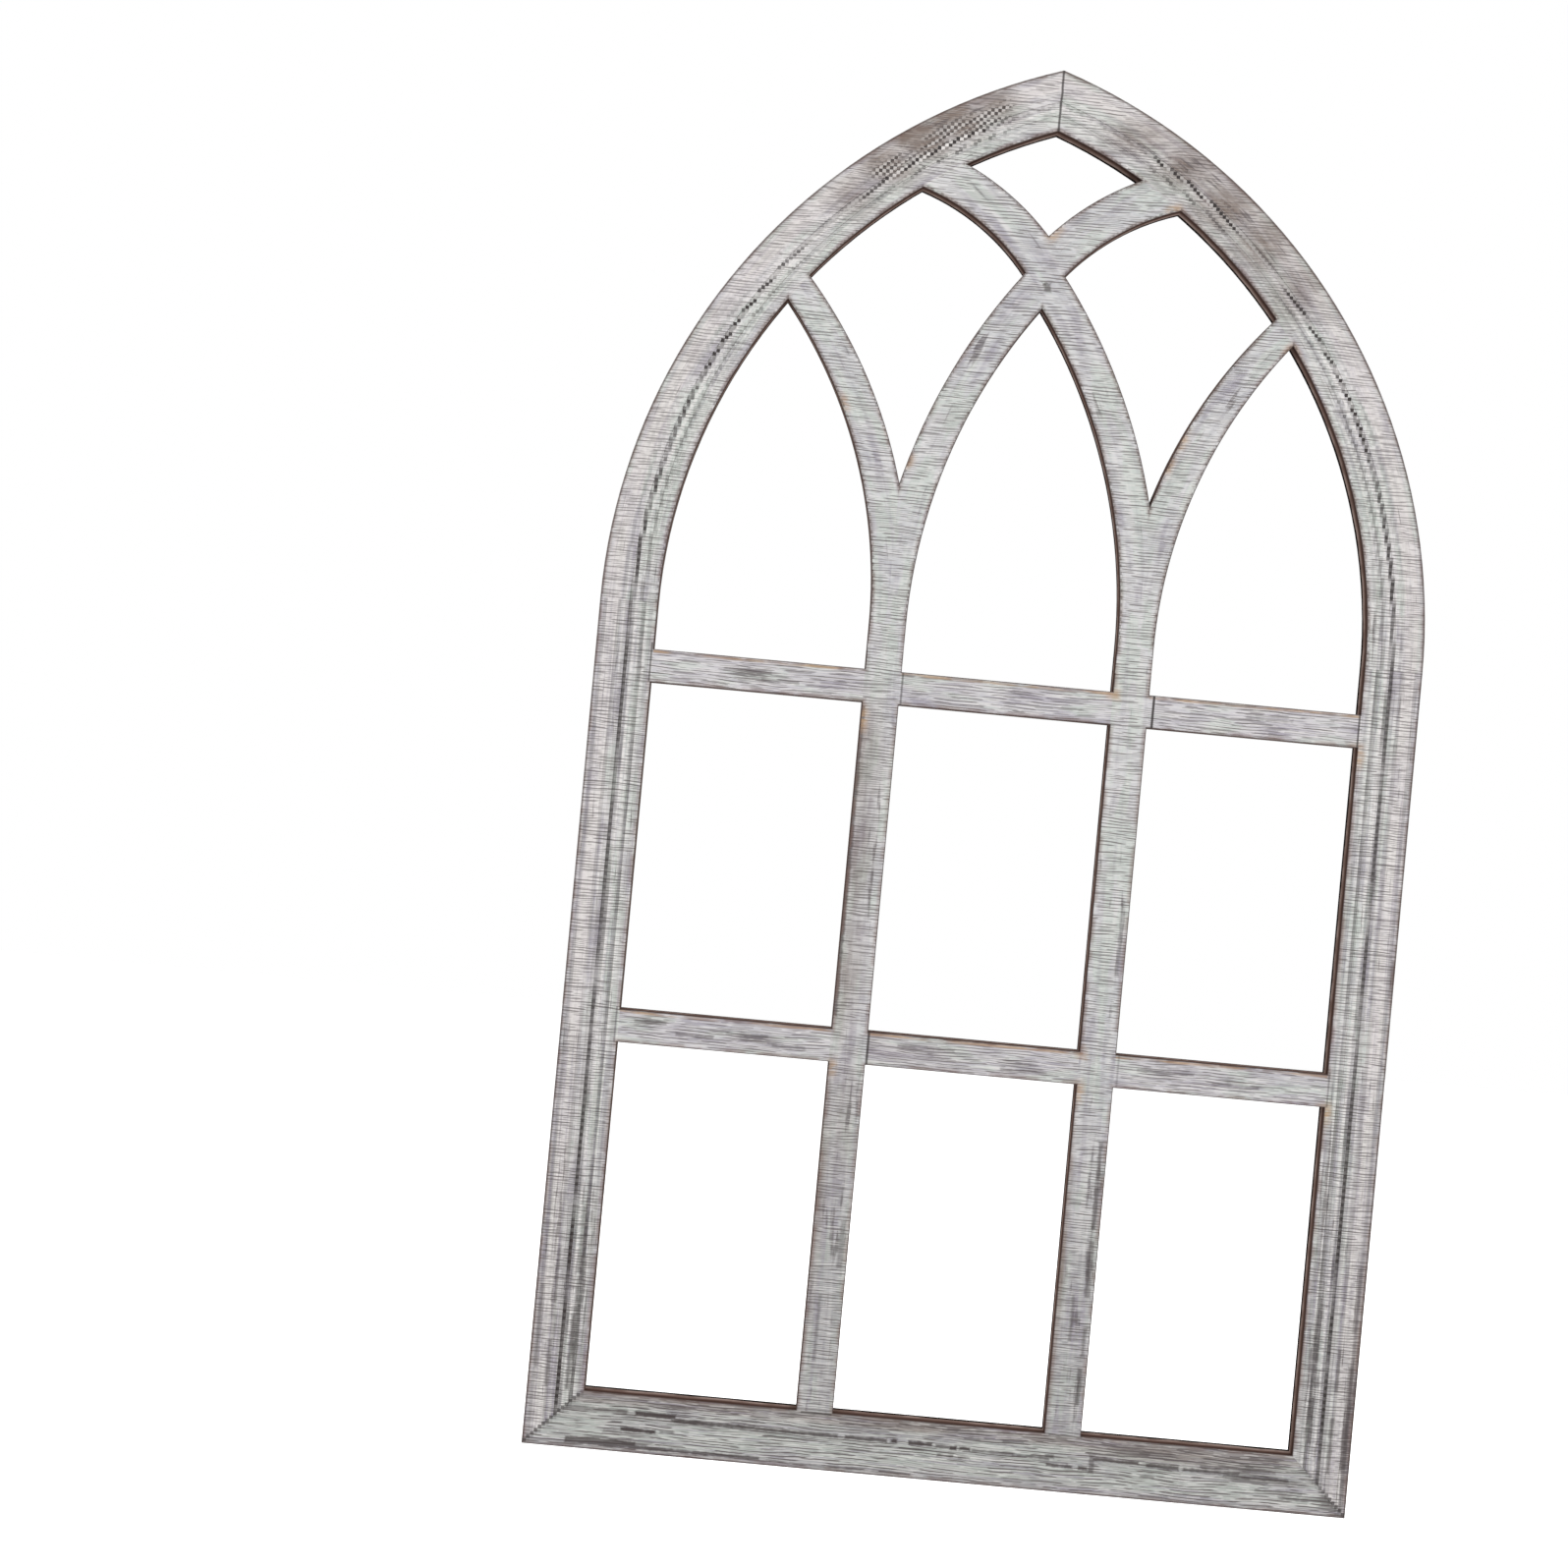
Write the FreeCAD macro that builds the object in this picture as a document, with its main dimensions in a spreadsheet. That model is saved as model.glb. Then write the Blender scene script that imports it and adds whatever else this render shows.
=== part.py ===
"""Pointed-arch window frame for a wall: a mitred frame, two mullions, six muntins and intersecting tracery.

Millimetres. X runs to the right, Z up, and the front faces -Y. The back lies in the plane y = 0,
with the origin at the middle of its bottom edge.
"""
import FreeCAD, Part
import os
import Sketcher

doc = FreeCAD.newDocument("arched_window_frame")
sheet = doc.addObject("Spreadsheet::Sheet", "sizes")

# Driving dimensions
DRIVING = [
    ("overall_height", 600),
    ("overall_width", 350),
    ("board_thickness", 12),
    ("frame_width", 24.5),
    ("arch_radius", 253),
    ("outer_groove_inset", 12.4),
    ("outer_groove_width", 2.2),
    ("outer_groove_depth", 0.6),
    ("inner_groove_inset", 17.8),
    ("inner_groove_width", 1.8),
    ("inner_groove_depth", 0.4),
    ("mullion_width", 15.5),
    ("muntin_width", 14),
    ("lower_pane_height", 148),
    ("upper_muntin_drop", 26.8),
    ("tracery_radius", 253),
    ("sweep_change_offset", 5),
    ("upper_sweep_radius", 97),
    ("upper_sweep_width", 17),
    ("upper_sweep_step", 2.4),
    ("upper_sweep_turn", 3),
    ("side_bar_upper_radius", 218),
    ("side_bar_lower_radius", 212),
]

# Sizes that follow from them
DERIVED = [
    ("half_width", "overall_width / 2"),
    ("arch_centre", "arch_radius - half_width"),
    ("springing", "overall_height - sqrt(arch_radius ^ 2 - arch_centre ^ 2)"),
    ("rib_inner_radius", "arch_radius - frame_width"),
    ("clear_half", "half_width - frame_width"),
    ("pane_width", "(2 * clear_half - 2 * mullion_width) / 3"),
    ("mullion_near", "pane_width / 2"),
    ("mullion_far", "mullion_near + mullion_width"),
    ("lower_muntin_foot", "frame_width + lower_pane_height"),
    ("upper_muntin_foot", "springing - upper_muntin_drop - muntin_width / 2"),
    ("tracery_centre", "tracery_radius - mullion_far"),
    ("tracery_inner_radius", "tracery_radius - mullion_width"),
    ("change_angle", "acos((tracery_centre - sweep_change_offset) / tracery_inner_radius)"),
    ("upper_sweep_angle", "change_angle + upper_sweep_turn * 1 deg"),
    ("centre_shift", "tracery_inner_radius + upper_sweep_step - upper_sweep_radius"),
    ("upper_sweep_x", "tracery_centre - centre_shift * cos(upper_sweep_angle)"),
    ("upper_sweep_z", "springing + centre_shift * sin(upper_sweep_angle)"),
    ("side_bar_upper_x", "mullion_near + side_bar_upper_radius"),
    ("side_bar_lower_x", "mullion_far + side_bar_lower_radius"),
    ("crotch_gap", "tracery_centre + side_bar_upper_x"),
    ("crotch_lean", "(tracery_radius ^ 2 - side_bar_upper_radius ^ 2) / (2 * crotch_gap)"),
    ("crotch_x", "(side_bar_upper_x - tracery_centre) / 2 + crotch_lean"),
]

for row, (alias, size) in enumerate(DRIVING, 1):
    sheet.set(f"A{row}", alias)
    sheet.set(f"B{row}", str(size))
    sheet.setAlias(f"B{row}", alias)
for row, (alias, formula) in enumerate(DERIVED, len(DRIVING) + 2):
    sheet.set(f"A{row}", alias)
    sheet.set(f"B{row}", "=" + formula)
    sheet.setAlias(f"B{row}", alias)
doc.recompute()
NAMES = {alias for alias, _ in DRIVING + DERIVED}


def linked(expression):
    """The expression with each size's name pointing at the sheet."""
    words = expression.replace("(", "( ").replace(")", " )").split()
    return " ".join("sizes." + word if word in NAMES else word for word in words)


def value(expression):
    """What the expression comes to now."""
    result = sheet.evalExpression(linked(expression))
    return getattr(result, "Value", result)


def bind(item, **expressions):
    """Tie an object's properties to the sheet; x, y and z are its place."""
    for name, expression in expressions.items():
        target = f".Placement.Base.{name}" if name in ("x", "y", "z") else name
        item.setExpression(target, linked(expression))


# Sketches and solids made from them
def origin_plane(body, role):
    """One of the body's own three planes."""
    return next(plane for plane in body.Origin.OriginFeatures if plane.Role == role)


def outline(body, name, role, *loops):
    """A sketch of closed straight-sided loops whose corners are tied to the sheet."""
    sketch = body.newObject("Sketcher::SketchObject", name)
    sketch.AttachmentSupport = (origin_plane(body, role), [""])
    sketch.MapMode = "FlatFace"
    for corners in loops:
        points = [FreeCAD.Vector(value(across), value(up), 0) for across, up in corners]
        first = sketch.GeometryCount
        count = len(points)
        for index in range(count):
            line = Part.LineSegment(points[index], points[(index + 1) % count])
            sketch.addGeometry(line, False)
        for index in range(count):
            following = first + (index + 1) % count
            sketch.addConstraint(Sketcher.Constraint("Coincident", first + index, 2, following, 1))
        for index, (across, up) in enumerate(corners):
            for kind, expression in (("DistanceX", across), ("DistanceY", up)):
                size = value(expression)
                rule = sketch.addConstraint(Sketcher.Constraint(kind, -1, 1, first + index, 1, size))
                sketch.setExpression(f"Constraints[{rule}]", linked(expression))
    return sketch


def moulding(edge, sign):
    """The frame's cross-section as (from the outer edge inwards, depth) corners, front face grooved."""
    def inwards(distance):
        return f"{edge} {sign} ( {distance} )"

    front = "- board_thickness"
    outer_floor = "outer_groove_depth - board_thickness"
    inner_floor = "inner_groove_depth - board_thickness"
    return [
        (inwards("0"), "0"),
        (inwards("frame_width"), "0"),
        (inwards("frame_width"), front),
        (inwards("inner_groove_inset + inner_groove_width"), front),
        (inwards("inner_groove_inset + inner_groove_width"), inner_floor),
        (inwards("inner_groove_inset"), inner_floor),
        (inwards("inner_groove_inset"), front),
        (inwards("outer_groove_inset + outer_groove_width"), front),
        (inwards("outer_groove_inset + outer_groove_width"), outer_floor),
        (inwards("outer_groove_inset"), outer_floor),
        (inwards("outer_groove_inset"), front),
        (inwards("0"), front),
    ]


def mitre(body, base, *loops):
    """Cut the loops, drawn on the back, right through the board."""
    doc.recompute()
    before = base.Shape.Volume
    pocket = body.newObject("PartDesign::Pocket", body.Name + "_mitre")
    pocket.Profile = outline(body, body.Name + "_mitre_lines", "XZ_Plane", *loops)
    pocket.Type = "ThroughAll"
    pocket.Reversed = True
    doc.recompute()
    if not pocket.Shape.Volume < before:
        raise ValueError(f"the mitre of {body.Name} cuts nothing")
    return body


def mirrored(name, source):
    """The same piece on the other side of the middle."""
    twin = doc.addObject("Part::Mirroring", name)
    twin.Source = source
    twin.Normal = (1, 0, 0)
    return twin


# The mitred outer frame
def bottom_rail():
    body = doc.addObject("PartDesign::Body", "bottom_rail")
    profile = [(depth, inwards) for inwards, depth in moulding("0", "+")]
    pad = body.newObject("PartDesign::Pad", "bottom_rail_length")
    pad.Profile = outline(body, "bottom_rail_profile", "YZ_Plane", profile)
    pad.Midplane = True
    bind(pad, Length="overall_width")
    right_end = [("half_width", "0"), ("half_width", "frame_width"), ("clear_half", "frame_width")]
    left_end = [("- " + across, up) for across, up in right_end]
    return mitre(body, pad, right_end, left_end)


def right_stile():
    body = doc.addObject("PartDesign::Body", "right_stile")
    pad = body.newObject("PartDesign::Pad", "right_stile_length")
    pad.Profile = outline(body, "right_stile_profile", "XY_Plane", moulding("half_width", "-"))
    bind(pad, Length="springing")
    return mitre(body, pad, [("half_width", "0"), ("clear_half", "0"), ("clear_half", "frame_width")])


def right_arch_rib():
    """A quarter turn of the frame's section about the arch's centre, cut plumb at the apex."""
    body = doc.addObject("PartDesign::Body", "right_arch_rib")
    bind(body, x="- arch_centre", z="springing")
    turn = body.newObject("PartDesign::Revolution", "right_arch_rib_turn")
    turn.Profile = outline(body, "right_arch_rib_profile", "XY_Plane", moulding("arch_radius", "-"))
    turn.ReferenceAxis = (turn.Profile[0], ["V_Axis"])
    turn.Angle = 90
    turn.Reversed = True
    past_crown = "arch_radius + frame_width"
    apex = [
        ("arch_centre", "0"),
        ("arch_centre", past_crown),
        ("- frame_width", past_crown),
        ("- frame_width", "0"),
    ]
    return mitre(body, turn, apex)


# Straight bars
def bar(name, **sizes):
    """A square-cut bar as thick as the board."""
    box = doc.addObject("Part::Box", name)
    bind(box, Width="board_thickness", y="- board_thickness", **sizes)
    return box


def mullions():
    height = "springing - frame_width"
    starts = {"left": "- mullion_far", "right": "mullion_near"}
    for side, start in starts.items():
        yield bar(side + "_mullion", Length="mullion_width", Height=height, x=start, z="frame_width")


def muntins():
    starts = {"left": "- clear_half", "middle": "- mullion_near", "right": "mullion_far"}
    for row in ("lower", "upper"):
        for bay, start in starts.items():
            name = f"{row}_muntin_{bay}"
            foot = f"{row}_muntin_foot"
            yield bar(name, Length="pane_width", Height="muntin_width", x=start, z=foot)


# Curved tracery bars
def disc(name, radius, x, z="springing"):
    """A round plate as thick as the board, facing forwards."""
    plate = doc.addObject("Part::Cylinder", name)
    plate.Placement.Rotation = FreeCAD.Rotation(FreeCAD.Vector(1, 0, 0), 90)
    bind(plate, Radius=radius, Height="board_thickness", x=x, z=z)
    return plate


def block(name, **sizes):
    """A cutting block that stands past both faces of the board."""
    box = doc.addObject("Part::Box", name)
    bind(box, Width="2 * board_thickness", y="- 1.5 * board_thickness", **sizes)
    return box


def combine(kind, name, base, tool):
    """The cut, common part or union of two shapes."""
    result = doc.addObject("Part::" + kind, name)
    result.Base = base
    result.Tool = tool
    return result


def long_bar_blank(head, inside_rib):
    """The bar from the left mullion across the middle to the right rib, before it is halved.

    It leaves the mullion on a wide sweep and turns into a tighter, broader one at the crossing. The block
    beyond the change of sweep ends at the tight sweep's centre, so only its rising side is kept.
    """
    outer = disc("wide_sweep_outer", "tracery_radius", "tracery_centre")
    inner = disc("wide_sweep_inner", "tracery_inner_radius", "tracery_centre")
    wide_ring = combine("Cut", "wide_sweep_ring", outer, inner)
    beyond = block("beyond_change", Length="overall_height - centre_shift", Height="2 * overall_height")
    beyond.Placement.Rotation = FreeCAD.Rotation(FreeCAD.Vector(0, 1, 0), value("change_angle"))
    beyond.setExpression(".Placement.Rotation.Angle", linked("change_angle"))
    bind(
        beyond,
        x="tracery_centre - overall_height * cos( change_angle )",
        z="springing + overall_height * sin( change_angle )",
    )
    below = combine("Cut", "wide_sweep_below", wide_ring, beyond)
    wide = combine("Common", "wide_sweep", below, head)

    place = {"x": "upper_sweep_x", "z": "upper_sweep_z"}
    upper_outer = disc("tight_sweep_outer", "upper_sweep_radius + upper_sweep_width", **place)
    upper_inner = disc("tight_sweep_inner", "upper_sweep_radius", **place)
    tight_ring = combine("Cut", "tight_sweep_ring", upper_outer, upper_inner)
    tight = combine("Common", "tight_sweep", tight_ring, beyond)

    whole = combine("Fuse", "long_bar_sweeps", wide, tight)
    seated = combine("Common", "long_bar_seated", whole, inside_rib)
    past_mitre = block(
        "left_of_mitre",
        Length="half_width",
        Height="overall_height",
        x="- half_width - crotch_x",
        z="0",
    )
    return combine("Cut", "long_bar_blank", seated, past_mitre)


def long_bars(head, inside_rib):
    """The two long bars, halved into each other where they cross: the rising left one lies in front."""
    rightwards = long_bar_blank(head, inside_rib)
    leftwards = mirrored("long_bar_mirrored", rightwards)
    span = {"Length": "overall_width", "Height": "overall_height", "x": "- half_width", "z": "0"}
    halves = {}
    for half, y in (("front", "- 1.5 * board_thickness"), ("back", "- board_thickness / 2")):
        halves[half] = doc.addObject("Part::Box", half + "_half")
        bind(halves[half], Width="board_thickness", y=y, **span)
    front_notch = combine("Common", "front_notch", leftwards, halves["front"])
    back_notch = combine("Common", "back_notch", rightwards, halves["back"])
    yield combine("Cut", "rising_right_tracery_bar", rightwards, front_notch)
    yield combine("Cut", "rising_left_tracery_bar", leftwards, back_notch)


def right_side_bar(head, inside_rib):
    """The short bar from the right mullion out to the right rib, mitred against the long bar's foot."""
    upper = disc("side_bar_upper_edge", "side_bar_upper_radius", "side_bar_upper_x")
    lower = disc("side_bar_lower_edge", "side_bar_lower_radius", "side_bar_lower_x")
    crescent = combine("Cut", "side_bar_crescent", upper, lower)
    above = combine("Common", "side_bar_above_springing", crescent, head)
    seated = combine("Common", "side_bar_seated", above, inside_rib)
    past_mitre = block(
        "left_of_right_mitre",
        Length="half_width",
        Height="overall_height",
        x="crotch_x - half_width",
        z="0",
    )
    return combine("Cut", "right_outer_tracery_bar", seated, past_mitre)


rail = bottom_rail()
stile = right_stile()
rib = right_arch_rib()
arch_head = block(
    "arch_head",
    Length="overall_width",
    Height="overall_height",
    x="- half_width",
    z="springing",
)
inside_right_rib = disc("inside_right_rib", "rib_inner_radius", "- arch_centre")
side_bar = right_side_bar(arch_head, inside_right_rib)
pieces = [
    rail,
    stile,
    mirrored("left_stile", stile),
    rib,
    mirrored("left_arch_rib", rib),
    *mullions(),
    *muntins(),
    side_bar,
    mirrored("left_outer_tracery_bar", side_bar),
    *long_bars(arch_head, inside_right_rib),
]
doc.recompute()

for item in doc.Objects:
    if "Invalid" in item.State or "Error" in item.State:
        raise ValueError(f"{item.Name} did not recompute: {item.State}")
os.makedirs("parts", exist_ok=True)
for piece in pieces:
    shape = piece.Shape
    if shape.isNull() or not shape.isValid() or len(shape.Solids) != 1:
        raise ValueError(f"{piece.Label} is not one valid solid")
for piece in pieces:
    piece.Shape.exportStep(f"parts/{piece.Label}.step")
    box = piece.Shape.BoundBox
    print(f"{piece.Label:26s} volume {piece.Shape.Volume:10.1f}  x {box.XMin:8.2f} {box.XMax:8.2f}", end="")
    print(f"  y {box.YMin:7.2f} {box.YMax:6.2f}  z {box.ZMin:7.2f} {box.ZMax:7.2f}")
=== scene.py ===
import math

import bpy
from mathutils import Matrix, Vector


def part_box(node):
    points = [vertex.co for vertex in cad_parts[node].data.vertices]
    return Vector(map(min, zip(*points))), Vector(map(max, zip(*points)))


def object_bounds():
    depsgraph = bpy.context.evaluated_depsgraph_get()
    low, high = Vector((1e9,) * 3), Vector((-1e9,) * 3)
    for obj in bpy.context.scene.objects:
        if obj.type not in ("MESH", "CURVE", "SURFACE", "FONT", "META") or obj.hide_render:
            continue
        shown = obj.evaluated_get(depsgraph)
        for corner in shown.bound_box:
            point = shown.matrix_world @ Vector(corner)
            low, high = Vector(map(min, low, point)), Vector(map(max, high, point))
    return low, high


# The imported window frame: x to the right, z up, the front faces -y
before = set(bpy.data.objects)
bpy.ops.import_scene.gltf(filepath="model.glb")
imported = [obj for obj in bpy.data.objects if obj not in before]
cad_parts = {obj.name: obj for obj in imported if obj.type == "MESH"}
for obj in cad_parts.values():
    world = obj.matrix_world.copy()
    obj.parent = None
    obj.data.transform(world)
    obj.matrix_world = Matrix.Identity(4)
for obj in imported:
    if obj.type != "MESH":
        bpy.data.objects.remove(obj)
cad_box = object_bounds()
AXES = "xyz"


def span(node, axis):
    """A node's lowest and highest place along an axis, in millimetres."""
    return [corner[AXES.index(axis)] * 1000 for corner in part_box(node)]


# Sizes in millimetres, from the frame's nodes
HALF_WIDTH = span("bottom_rail", "x")[1]
FRAME_WIDTH = span("bottom_rail", "z")[1]
THICKNESS = -span("bottom_rail", "y")[0]
SPRINGING = span("right_stile", "z")[1]
APEX = span("right_arch_rib", "z")[1]
ARCH_RADIUS = (HALF_WIDTH ** 2 + (APEX - SPRINGING) ** 2) / (2 * HALF_WIDTH)
ARCH_CENTRE = ARCH_RADIUS - HALF_WIDTH
MULLION_NEAR, MULLION_FAR = span("right_mullion", "x")
LOWER_MUNTIN = span("lower_muntin_middle", "z")
UPPER_MUNTIN = span("upper_muntin_middle", "z")

# The tracery's sweeps, in millimetres and radians, as the solids have them
WIDE_RADIUS = 253
WIDE_INNER = WIDE_RADIUS - (MULLION_FAR - MULLION_NEAR)
WIDE_CENTRE = WIDE_RADIUS - MULLION_FAR
CHANGE_OFFSET = 5
CHANGE_ANGLE = math.acos((WIDE_CENTRE - CHANGE_OFFSET) / WIDE_INNER)
TIGHT_RADIUS = 97
TIGHT_WIDTH = 17
TIGHT_STEP = 2.4
TIGHT_ANGLE = CHANGE_ANGLE + math.radians(3)
TIGHT_SHIFT = WIDE_INNER + TIGHT_STEP - TIGHT_RADIUS
SIDE_UPPER_RADIUS = 218
SIDE_LOWER_RADIUS = 212
TRACERY_FOOT = 12  # how far below the springing line the bars still count as tracery


def srgb(red, green, blue):
    """A display colour, 0 to 255, as a linear one."""
    linear = []
    for level in (red, green, blue):
        share = level / 255
        linear.append(share / 12.92 if share <= 0.04045 else ((share + 0.055) / 1.055) ** 2.4)
    return (*linear, 1)


# Colours of the worn paint, the bare wood and the scorched cuts
HIGHLIGHT = srgb(234, 230, 227)
LAVENDER = srgb(158, 151, 163)
PINKISH = srgb(219, 207, 207)
GREENISH = srgb(199, 206, 199)
VIOLET = srgb(148, 141, 156)
GRIME = srgb(138, 136, 134)
LINE = srgb(60, 55, 54)
DASH = srgb(58, 48, 48)
SMEAR = srgb(86, 78, 80)
BARE_WOOD = srgb(128, 114, 106)
FRINGE = srgb(116, 90, 80)
GRAIN = srgb(92, 85, 84)
SCORCH = srgb(184, 150, 114)
BURNT = srgb(66, 52, 48)
CUT_PALE = srgb(164, 144, 136)
CUT_BROWN = srgb(112, 90, 82)
CUT_DARK = srgb(76, 57, 51)
CUT_BLACK = srgb(30, 24, 22)


# Shader fields
class Field:
    """A number that varies over the surface: a shader socket that plain arithmetic works on."""

    def __init__(self, graph, socket):
        self.graph = graph
        self.socket = socket

    def __add__(self, other):
        return self.graph.math("ADD", self, other)

    __radd__ = __add__

    def __sub__(self, other):
        return self.graph.math("SUBTRACT", self, other)

    def __rsub__(self, other):
        return self.graph.math("SUBTRACT", other, self)

    def __mul__(self, other):
        return self.graph.math("MULTIPLY", self, other)

    __rmul__ = __mul__

    def __truediv__(self, other):
        return self.graph.math("DIVIDE", self, other)

    def __abs__(self):
        return self.graph.math("ABSOLUTE", self)

    def over(self, level):
        """1 where the field is over the level, or else 0."""
        return self.graph.math("GREATER_THAN", self, level)

    def round(self):
        return self.graph.math("ROUND", self)

    def least(self, other):
        return self.graph.math("MINIMUM", self, other)

    def most(self, other):
        return self.graph.math("MAXIMUM", self, other)

    def rise(self, low, high):
        """0 up to low, 1 from high on, and smooth between them."""
        return self.graph.smooth(self, low, high)

    def fall(self, low, high):
        """1 up to low, 0 from high on, and smooth between them."""
        return 1 - self.rise(low, high)

    def choose(self, one, zero):
        """One field where this one is 1, another where it is 0."""
        return self.graph.math("MULTIPLY_ADD", self, one - zero, zero)


class Graph:
    """The nodes of one tree. Places on the surface are in millimetres."""

    MIX_FACTOR, MIX_UNDER, MIX_OVER, MIX_COLOUR = 0, 6, 7, 2

    def __init__(self, tree):
        self.tree = tree
        place = self.node("TexCoord").outputs["Object"]
        self.x, self.y, self.z = [part * 1000 for part in self.parts(place)]
        facing = self.node("NewGeometry").outputs["True Normal"]
        self.facing_y = self.parts(facing)[1]

    def node(self, kind, **settings):
        made = self.tree.nodes.new("ShaderNode" + kind)
        for name, setting in settings.items():
            setattr(made, name, setting)
        return made

    def feed(self, socket, given):
        """Link a field or a socket, or set a plain number or colour."""
        given = given.socket if isinstance(given, Field) else given
        if isinstance(given, bpy.types.NodeSocket):
            self.tree.links.new(given, socket)
        else:
            socket.default_value = given

    def math(self, operation, *values):
        made = self.node("Math", operation=operation)
        for socket, given in zip(made.inputs, values):
            self.feed(socket, given)
        return Field(self, made.outputs[0])

    def smooth(self, given, low, high):
        made = self.node("MapRange", interpolation_type="SMOOTHSTEP")
        self.feed(made.inputs["Value"], given)
        made.inputs["From Min"].default_value = low
        made.inputs["From Max"].default_value = high
        return Field(self, made.outputs["Result"])

    def vector(self, *values):
        made = self.node("CombineXYZ")
        for socket, given in zip(made.inputs, values):
            self.feed(socket, given)
        return made.outputs[0]

    def parts(self, socket):
        """The x, y and z of a vector."""
        made = self.node("SeparateXYZ")
        self.feed(made.inputs[0], socket)
        return [Field(self, output) for output in made.outputs]

    def length(self, first, second):
        return self.math("SQRT", self.math("MULTIPLY_ADD", first, first, second * second))

    def stepped(self, place):
        """A place moved to the nearest of the printed dots."""
        return (place / DOT).round() * DOT

    def check(self):
        """1 and 0 in turn from dot to dot, like the fields of a chess board."""
        return self.math("PINGPONG", (self.x / DOT).round() + (self.z / DOT).round(), 1)

    def noise(self, first, second, seed, detail=2):
        """Smooth noise, mostly from 0.3 to 0.7, with features about one unit wide."""
        made = self.node("TexNoise", noise_dimensions="3D")
        self.feed(made.inputs["Vector"], self.vector(first, second, seed))
        made.inputs["Scale"].default_value = 1
        made.inputs["Detail"].default_value = detail
        return Field(self, made.outputs[0])

    def blotches(self, wide, high, seed, detail=2):
        """Smooth noise over the front, with features of a given width and height."""
        return self.noise(self.x / wide, self.z / high, seed, detail)

    def lay(self, under, over, amount):
        """One colour laid over another."""
        made = self.node("Mix", data_type="RGBA")
        self.feed(made.inputs[self.MIX_FACTOR], amount)
        self.feed(made.inputs[self.MIX_UNDER], under)
        self.feed(made.inputs[self.MIX_OVER], over)
        return made.outputs[self.MIX_COLOUR]


# Where a place lies on the frame
def frame_inset(graph):
    """How far a place lies in from the frame's outer edge."""
    side = abs(graph.x)
    straight = (HALF_WIDTH - side).least(graph.z)
    arched = ARCH_RADIUS - graph.length(side + ARCH_CENTRE, graph.z - SPRINGING)
    return graph.z.over(SPRINGING).choose(arched, straight)


def inside_ring(graph, x, centre_x, centre_z, inner, outer):
    """How far a place lies inside a ring, from its nearer edge."""
    radius = graph.length(x - centre_x, graph.z - centre_z)
    return (radius - inner).least(outer - radius)


def inside_long_bar(graph, x):
    """How far a place lies inside the long bar that rises to positive x."""
    wide = inside_ring(graph, x, WIDE_CENTRE, SPRINGING, WIDE_INNER, WIDE_RADIUS)
    tight_x = WIDE_CENTRE - TIGHT_SHIFT * math.cos(TIGHT_ANGLE)
    tight_z = SPRINGING + TIGHT_SHIFT * math.sin(TIGHT_ANGLE)
    tight = inside_ring(graph, x, tight_x, tight_z, TIGHT_RADIUS, TIGHT_RADIUS + TIGHT_WIDTH)
    across = (x - WIDE_CENTRE) * math.sin(CHANGE_ANGLE)
    beyond = across + (graph.z - SPRINGING) * math.cos(CHANGE_ANGLE)
    return wide.least(0 - beyond).most(tight.least(beyond))


def inside_side_bar(graph):
    """How far a place lies inside the short bar on its side."""
    side = abs(graph.x)
    height = graph.z - SPRINGING
    upper = SIDE_UPPER_RADIUS - graph.length(side - MULLION_NEAR - SIDE_UPPER_RADIUS, height)
    lower = graph.length(side - MULLION_FAR - SIDE_LOWER_RADIUS, height) - SIDE_LOWER_RADIUS
    return upper.least(lower)


def inside_strip(place, low, high):
    """How far a place lies inside a straight bar, from its nearer edge."""
    return (place - low).least(high - place)


def edge_depth(graph):
    """How far a place lies from the nearest cut edge of the whole front."""
    inset = frame_inset(graph)
    depth = inset.least(FRAME_WIDTH - inset)
    upright = inside_strip(abs(graph.x), MULLION_NEAR, MULLION_FAR)
    depth = depth.most(upright.least(SPRINGING - graph.z))
    for row in (LOWER_MUNTIN, UPPER_MUNTIN):
        depth = depth.most(inside_strip(graph.z, *row))
    tracery = inside_long_bar(graph, graph.x).most(inside_long_bar(graph, 0 - graph.x))
    tracery = tracery.most(inside_side_bar(graph))
    above = graph.z - SPRINGING
    return depth.most(tracery.least(above + TRACERY_FOOT)).least(inset)


# Layers of the finish
DOT = 1.5  # pitch of the dots that the lines of the ribs and the mitres are printed in
APEX_JOINT = 26  # length of the joint line below the apex
MITRE_REACH = 49  # height and inset together at the inner end of a mitre's line
GRIMY_BELOW = (70, 210)  # heights between which the grime of the frame's foot fades out
DOTTED_ABOVE = (420, 520)  # heights between which the ribs' lines break up into dots
MOTTLED_INSET = 10.5  # middle of the mottled rows on the left rib
STRAIGHT_LINES = [  # inset, half width and strength of the dark lines of the stiles
    (2.2, 0.8, 0.25),
    (8.9, 0.9, 0.25),
    (11.6, 1.6, 0.25),
    (13.4, 1.1, 0.88),
    (18.5, 0.9, 0.5),
    (21.8, 0.7, 0.2),
]
ARCHED_LINES = [  # inset, half width and strength of the dark lines of the ribs
    (5.9, 0.8, 0.1),
    (9.6, 0.8, 0.2),
    (13.6, 0.9, 0.95),
    (17.9, 0.8, 0.42),
    (21.0, 0.7, 0.14),
]
LIGHT_BANDS = [  # inset, half width and strength of the worn light bands
    (5.9, 2.2, 0.35),
    (10.8, 0.7, 0.3),
    (15.7, 0.8, 0.7),
    (20.1, 0.6, 0.4),
]
FRAME_TINTS = [  # inset, half width, colour and strength of the frame's lengthwise tints
    (5.5, 4.5, PINKISH, 0.55),
    (19.5, 5, GREENISH, 0.45),
]
STILE_TINTS = FRAME_TINTS + [(0.8, 3.2, LAVENDER, 0.5)]
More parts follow.
